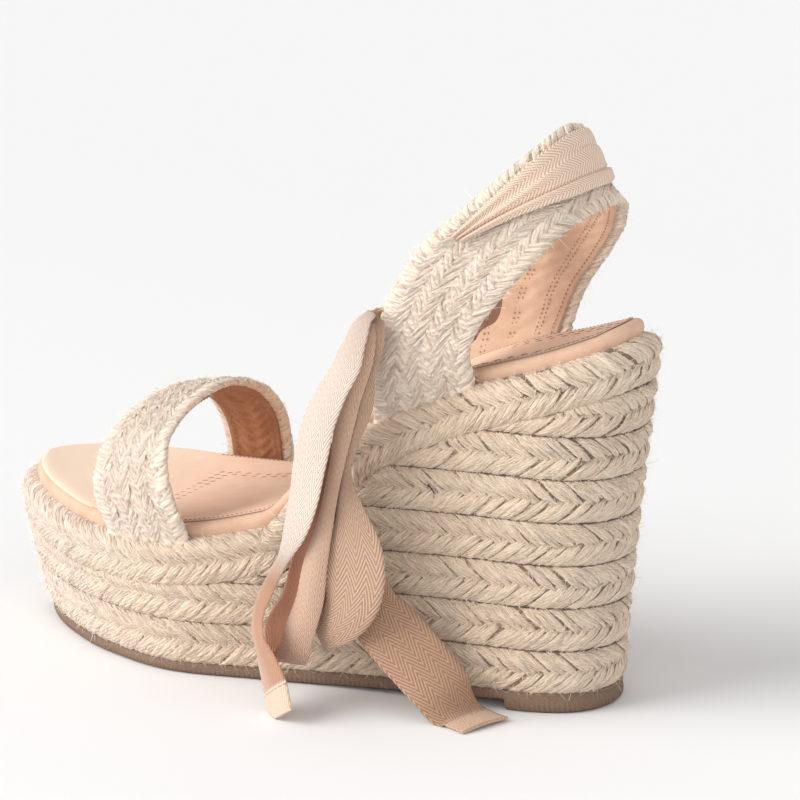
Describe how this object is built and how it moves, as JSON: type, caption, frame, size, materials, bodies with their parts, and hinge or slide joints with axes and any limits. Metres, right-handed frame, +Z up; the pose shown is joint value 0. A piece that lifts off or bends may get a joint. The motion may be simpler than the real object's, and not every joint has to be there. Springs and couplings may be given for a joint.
{
  "type": "wedge espadrille sandal",
  "caption": "Left wedge espadrille sandal: rope-braid wrapped wedge sole, braided open-toe vamp strap, braided back strap and a cotton ribbon hung in a bow at the outer side.",
  "frame": {"origin": "on the floor under the middle of the shoe's box, taken without the hanging ribbon", "axes": "+X from toe to heel, +Y towards the inner side of the foot, +Z up"},
  "size_m": [0.2166, 0.1076, 0.1741],
  "materials": {
    "rubber": "matte brown",
    "core": "light foam core, hidden by the rope",
    "rope": "natural jute rope braid",
    "strap_braid": "pale jute braid on a suede lining",
    "suede": "peach suede",
    "tape": "peach herringbone cotton tape"
  },
  "bodies": {
    "root": {"outsole": "rubber", "wedge": "core", "braid_row_1": "rope", "braid_row_2": "rope", "braid_row_3": "rope", "braid_row_4": "rope", "braid_row_5": "rope", "braid_row_6": "rope", "braid_row_7": "rope", "top_braid": "rope", "insole": "suede", "vamp_strap": "strap_braid", "back_strap": "strap_braid", "ribbon_heel_band": "tape", "ribbon_outer_run": "tape", "ribbon_cross_run": "tape", "bow_knot": "tape", "bow_end_front": "tape", "bow_end_rear": "tape", "bow_loop_front": "tape", "bow_loop_rear": "tape"}
  },
  "joints": []
}
